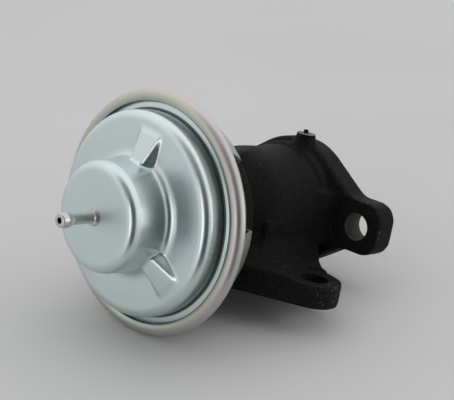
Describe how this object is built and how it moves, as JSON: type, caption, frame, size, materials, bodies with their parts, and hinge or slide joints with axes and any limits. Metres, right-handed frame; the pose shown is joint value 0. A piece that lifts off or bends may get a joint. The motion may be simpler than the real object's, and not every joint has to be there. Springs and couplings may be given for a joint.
{
  "type": "exhaust gas recirculation valve",
  "caption": "Vacuum-operated EGR valve: a crimped diaphragm can with a hose nipple on a black cast elbow with a two-eared rear flange and a lower diamond flange; a sprung poppet opens inside.",
  "frame": {"origin": "centre of the rear flange's joint face, on the valve stem's axis", "axes": "+Y out of the rear flange's face along the stem, +Z away from the lower flange, +X along the line of the bolt holes; the vacuum can is at -Y"},
  "size_m": [0.09, 0.1093, 0.076],
  "materials": {
    "zinc_plate": "bright zinc plate, softly polished",
    "nickel": "bright nickel plate",
    "passivated_zinc": "zinc plate with a yellow to pink passivate sheen",
    "rubber": "fabric-backed moulded rubber",
    "plain_steel": "plain pressed steel",
    "spring_steel": "oiled steel",
    "bush_iron": "sintered iron",
    "graphite": "packed graphite seal",
    "insulation": "pressed fibre gasket board",
    "black_iron": "black-coated sand casting",
    "seat_steel": "heat-darkened machined steel"
  },
  "bodies": {
    "housing": {"front_shell": "zinc_plate", "vacuum_nipple": "nickel", "rear_shell": "passivated_zinc", "spring_seat": "plain_steel", "guide_bush": "bush_iron", "rod_seal": "graphite", "seal_retainer": "plain_steel", "heat_insulator": "insulation", "can_screws": "spring_steel", "valve_body": "black_iron", "valve_seat": "seat_steel", "boss_pin": "black_iron"},
    "spool": {"diaphragm_front_plate": "plain_steel", "diaphragm_rear_plate": "plain_steel", "valve_rod": "spring_steel", "rod_nut": "zinc_plate", "poppet": "seat_steel", "poppet_nut": "spring_steel", "return_spring": "spring_steel", "diaphragm": "rubber"}
  },
  "joints": [
    {"name": "valve_lift", "type": "slide", "parent": "housing", "child": "spool", "axis": [0, -1, 0], "range_m": [0, 0.005], "stiffness_N_per_m": 3000, "springref_m": -0.006, "deforming": ["return_spring", "diaphragm"]}
  ]
}
